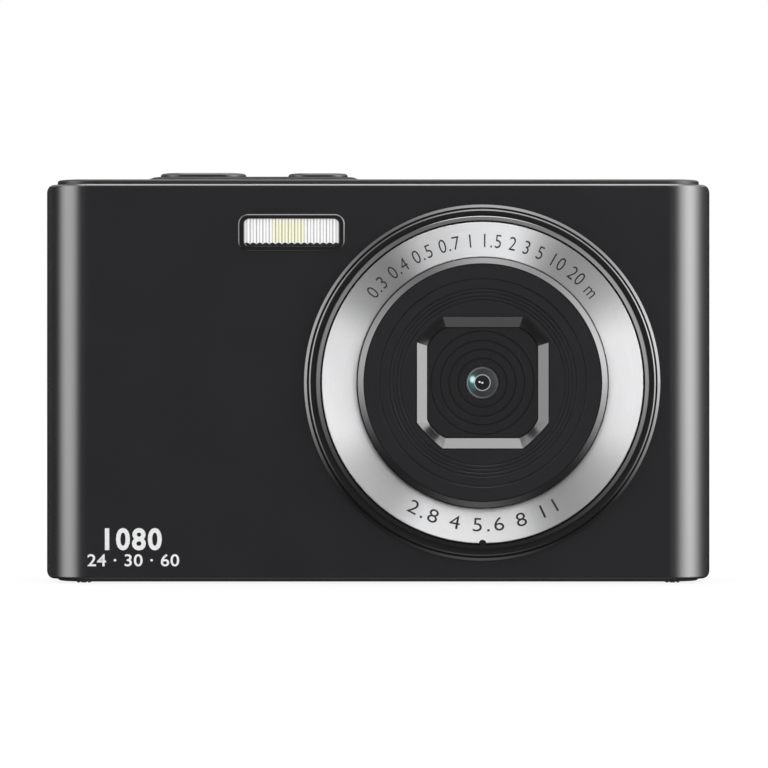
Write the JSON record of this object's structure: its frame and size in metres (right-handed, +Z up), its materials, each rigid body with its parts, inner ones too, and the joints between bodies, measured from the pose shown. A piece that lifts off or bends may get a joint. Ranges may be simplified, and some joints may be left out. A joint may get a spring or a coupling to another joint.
{
  "type": "compact digital camera",
  "caption": "Slim pocket camera with a stepped round lens surround, ribbed lamp window, top buttons, rear display and keys, and a hinged battery door.",
  "frame": {"origin": "centre of the tripod socket's mouth on the bottom face", "axes": "+X to the right seen from the front, +Y from the lens towards the display, +Z up"},
  "size_m": [0.1, 0.0256, 0.0618],
  "materials": {
    "cover_black": "satin black painted moulding, fine speckle",
    "top_black": "satin black painted moulding, duller than the covers",
    "base_black": "fine textured moulding",
    "button_black": "satin metallic black",
    "surround_black": "polished black",
    "spun_silver": "circularly brushed",
    "bright_rim": "satin bright bevel",
    "face_black": "black with fine turned grooves",
    "panel_black": "glossy black panel",
    "lens_glass": "coated optical glass",
    "barrel_black": "matte moulding",
    "screen_glass": "clear cover glass with a black border",
    "screen_black": "display panel, switched off",
    "lamp_clear": "clear ribbed diffuser",
    "bright_trim": "plated",
    "circuit_board": "green solder mask",
    "sensor_die": "bare sensor in a black package",
    "steel": "plated steel",
    "magnet_metal": "nickel plated",
    "copper_wire": "enamelled copper wire",
    "brass": "turned brass",
    "rubber": "soft black rubber",
    "silicone": "grey silicone",
    "frame_plastic": "glass-filled moulding",
    "battery_wrap": "printed wrap",
    "card_plastic": "fine matte moulding"
  },
  "bodies": {
    "camera_body": {"back_cover": "cover_black", "baffle_panel": "panel_black", "battery": "battery_wrap", "battery_contacts": "barrel_black", "bottom_cover": "base_black", "card_slot": "barrel_black", "chassis": "frame_plastic", "cover_screws": "steel", "door_pin": "steel", "filter_glass": "lens_glass", "focus_housing": "steel", "focus_magnets": "magnet_metal", "foot_pads": "rubber", "front_cover": "cover_black", "hub_face_plate": "face_black", "hub_ring": "bright_rim", "image_sensor": "sensor_die", "inner_screws": "steel", "keypad_board": "circuit_board", "keypad_membrane": "silicone", "lamp_bezel": "surround_black", "lamp_board": "circuit_board", "lamp_reflector": "bright_trim", "lamp_window": "lamp_clear", "lens_back_plate": "frame_plastic", "lens_bezel": "surround_black", "main_board": "circuit_board", "module_base": "barrel_black", "name_ring": "spun_silver", "screen_module": "screen_black", "screen_window": "screen_glass", "sensor_board": "circuit_board", "shutter_spring": "steel", "speaker": "barrel_black", "status_light": "lamp_clear", "strap_eyelet": "bright_trim", "top_board": "circuit_board", "top_cover": "top_black", "tripod_socket": "brass", "usb_port": "steel", "window_frame": "bright_rim"},
    "shutter_button": {"shutter_button": "button_black"},
    "power_button": {"power_button": "button_black"},
    "mode_button": {"mode_button": "button_black"},
    "menu_button": {"menu_button": "button_black"},
    "playback_button": {"playback_button": "button_black"},
    "delete_button": {"delete_button": "button_black"},
    "up_key": {"up_key": "button_black"},
    "left_key": {"left_key": "button_black"},
    "down_key": {"down_key": "button_black"},
    "right_key": {"right_key": "button_black"},
    "ok_button": {"ok_button": "button_black"},
    "zoom_rocker": {"zoom_rocker": "button_black"},
    "battery_door": {"battery_door": "base_black"},
    "door_latch": {"door_latch": "button_black"},
    "memory_card": {"memory_card": "card_plastic"},
    "focus_carrier": {"lens_barrel": "barrel_black", "front_element": "lens_glass", "rear_elements": "lens_glass", "focus_coil": "copper_wire"}
  },
  "joints": [
    {"name": "shutter_press", "type": "slide", "parent": "camera_body", "child": "shutter_button", "axis": [0, 0, -1], "range_m": [0, 0.0009], "stiffness_N_per_m": 900, "deforming": ["shutter_spring"]},
    {"name": "power_press", "type": "slide", "parent": "camera_body", "child": "power_button", "axis": [0, 0, -1], "range_m": [0, 0.0004]},
    {"name": "mode_press", "type": "slide", "parent": "camera_body", "child": "mode_button", "axis": [0, -1, 0], "range_m": [0, 0.0004], "deforming": ["keypad_membrane"]},
    {"name": "menu_press", "type": "slide", "parent": "camera_body", "child": "menu_button", "axis": [0, -1, 0], "range_m": [0, 0.0004], "deforming": ["keypad_membrane"]},
    {"name": "playback_press", "type": "slide", "parent": "camera_body", "child": "playback_button", "axis": [0, -1, 0], "range_m": [0, 0.0004], "deforming": ["keypad_membrane"]},
    {"name": "delete_press", "type": "slide", "parent": "camera_body", "child": "delete_button", "axis": [0, -1, 0], "range_m": [0, 0.0004], "deforming": ["keypad_membrane"]},
    {"name": "up_press", "type": "slide", "parent": "camera_body", "child": "up_key", "axis": [0, -1, 0], "range_m": [0, 0.0004], "deforming": ["keypad_membrane"]},
    {"name": "left_press", "type": "slide", "parent": "camera_body", "child": "left_key", "axis": [0, -1, 0], "range_m": [0, 0.0004], "deforming": ["keypad_membrane"]},
    {"name": "down_press", "type": "slide", "parent": "camera_body", "child": "down_key", "axis": [0, -1, 0], "range_m": [0, 0.0004], "deforming": ["keypad_membrane"]},
    {"name": "right_press", "type": "slide", "parent": "camera_body", "child": "right_key", "axis": [0, -1, 0], "range_m": [0, 0.0004], "deforming": ["keypad_membrane"]},
    {"name": "ok_press", "type": "slide", "parent": "camera_body", "child": "ok_button", "axis": [0, -1, 0], "range_m": [0, 0.0004], "deforming": ["keypad_membrane"]},
    {"name": "zoom_rock", "type": "hinge", "parent": "camera_body", "child": "zoom_rocker", "pos_m": [-0.0335, 0.0072, 0.0505], "axis": [0, 0, 1], "range_deg": [-4, 4]},
    {"name": "battery_door_hinge", "type": "hinge", "parent": "camera_body", "child": "battery_door", "pos_m": [-0.0419, -0.00345, 0.001], "axis": [0, 1, 0], "range_deg": [0, 95]},
    {"name": "door_latch_slide", "type": "slide", "parent": "battery_door", "child": "door_latch", "axis": [1, 0, 0], "range_m": [0, 0.0016]},
    {"name": "card_eject", "type": "slide", "parent": "camera_body", "child": "memory_card", "axis": [1, 0, 0], "range_m": [-0.0006, 0.014]},
    {"name": "focus_slide", "type": "slide", "parent": "camera_body", "child": "focus_carrier", "axis": [0, -1, 0], "range_m": [0, 0.0003]}
  ]
}
